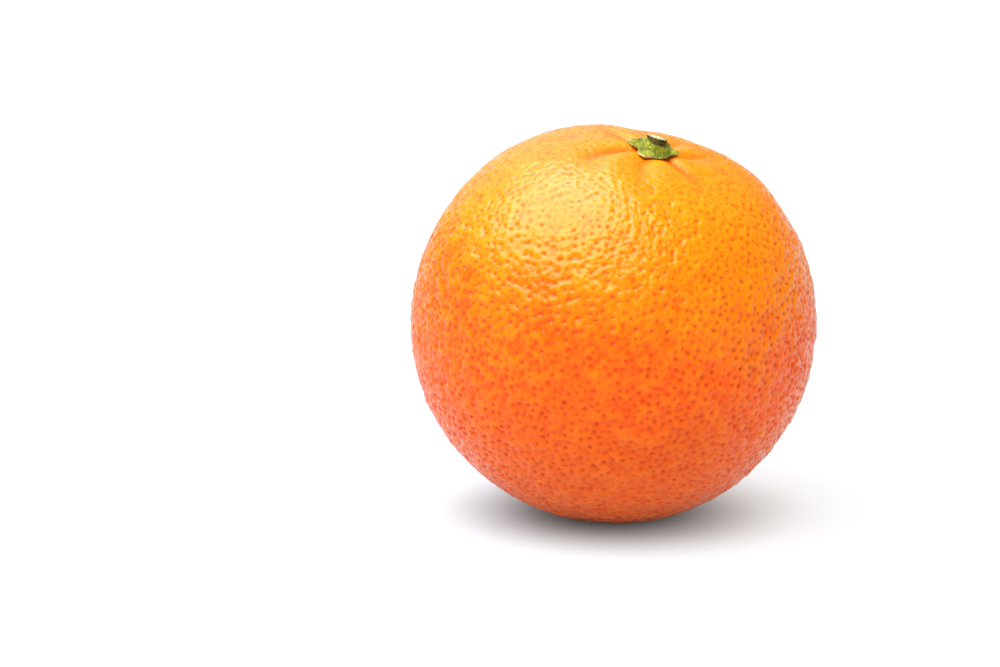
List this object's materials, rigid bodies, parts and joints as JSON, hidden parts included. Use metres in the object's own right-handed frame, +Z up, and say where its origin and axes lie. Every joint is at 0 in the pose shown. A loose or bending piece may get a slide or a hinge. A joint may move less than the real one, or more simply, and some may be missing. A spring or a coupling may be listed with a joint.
{
  "type": "orange",
  "caption": "Whole ripe orange with pitted peel, a green star-shaped calyx button and a short cut stem stub, resting on a small flat patch.",
  "frame": {"origin": "middle of the footprint, on the plane the orange rests on", "axes": "+Z up from the resting plane; the stem end leans about 17 degrees from +Z, towards the viewer (-Y) and towards +X; -Y faces the viewer"},
  "size_m": [0.0772, 0.0771, 0.0744],
  "materials": {
    "peel": "waxy satin with fine oil-gland pits",
    "calyx": "matt, mottled green with dry brown edges",
    "stem": "matt bark sides with a pale fibrous cut end"
  },
  "bodies": {
    "root": {"fruit": "peel", "calyx": "calyx", "stem_stub": "stem"}
  },
  "joints": []
}
